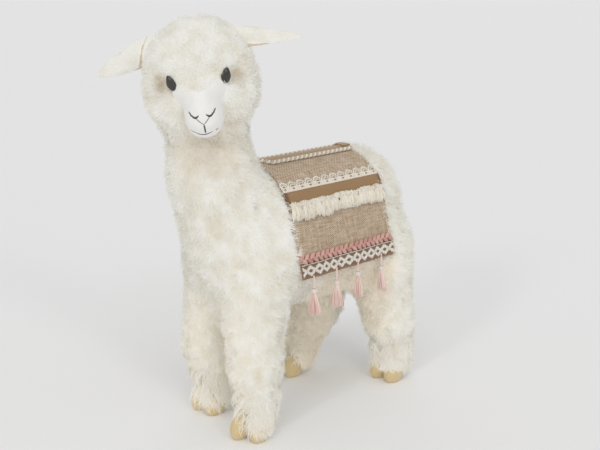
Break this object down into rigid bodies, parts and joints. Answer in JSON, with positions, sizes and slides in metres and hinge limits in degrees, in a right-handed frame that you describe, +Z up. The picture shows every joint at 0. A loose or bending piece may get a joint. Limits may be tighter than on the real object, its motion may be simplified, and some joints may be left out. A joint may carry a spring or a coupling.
{
  "type": "toy llama figure",
  "caption": "Standing toy llama with a curly cream wool body, moulded face, drooping felt ears, tan felt toes and a trimmed linen saddle blanket with tassels.",
  "frame": {"origin": "on the floor, under the middle of the figure's outline box", "axes": "+Z up, -Y the way the body faces, +X its left side"},
  "size_m": [0.1518, 0.3358, 0.3998],
  "materials": {
    "wool_pile": "long cream wool pile in small curly locks, matt",
    "face_plastic": "moulded off-white plastic with a fine flocked, satin surface and painted charcoal lines",
    "eye_plastic": "charcoal moulded plastic, satin",
    "ear_felt": "cream short-pile plush with a tan felt lining",
    "toe_felt": "tan suede-finished felt over a firm core",
    "blanket_linen": "plain-woven coarse linen, natural tan-grey",
    "ridge_tape": "narrow woven tape in tan with dusty pink edge threads",
    "cotton_cord": "two-strand twisted cotton cord, cream",
    "cotton_lace": "crocheted cotton lace, cream",
    "satin_ribbon": "brown grosgrain ribbon with a soft sheen",
    "cotton_fringe": "cut cotton loop fringe, cream",
    "wool_braid": "flat chevron braid, dusty rose",
    "jacquard_tape": "brown jacquard tape with a white lattice of crosses",
    "tassel_yarn": "salmon pink yarn tassel with a white thread wrap"
  },
  "bodies": {
    "root": {"head": "wool_pile", "neck": "wool_pile", "trunk": "wool_pile", "tail": "wool_pile", "leg_front_left": "wool_pile", "leg_front_right": "wool_pile", "leg_rear_left": "wool_pile", "leg_rear_right": "wool_pile", "face": "face_plastic", "eye_left": "eye_plastic", "ear_left": "ear_felt", "eye_right": "eye_plastic", "ear_right": "ear_felt", "toe_front_left_inner": "toe_felt", "toe_front_left_outer": "toe_felt", "toe_front_right_inner": "toe_felt", "toe_front_right_outer": "toe_felt", "toe_rear_left_inner": "toe_felt", "toe_rear_left_outer": "toe_felt", "toe_rear_right_inner": "toe_felt", "toe_rear_right_outer": "toe_felt", "blanket": "blanket_linen", "ridge_ribbon": "ridge_tape", "ridge_cord_left": "cotton_cord", "lace_left": "cotton_lace", "ribbon_left": "satin_ribbon", "fringe_left": "cotton_fringe", "braid_left": "wool_braid", "jacquard_left": "jacquard_tape", "tassel_left_1": "tassel_yarn", "tassel_left_2": "tassel_yarn", "tassel_left_3": "tassel_yarn", "tassel_left_4": "tassel_yarn", "ridge_cord_right": "cotton_cord", "lace_right": "cotton_lace", "ribbon_right": "satin_ribbon", "fringe_right": "cotton_fringe", "braid_right": "wool_braid", "jacquard_right": "jacquard_tape", "tassel_right_1": "tassel_yarn", "tassel_right_2": "tassel_yarn", "tassel_right_3": "tassel_yarn", "tassel_right_4": "tassel_yarn"}
  },
  "joints": []
}
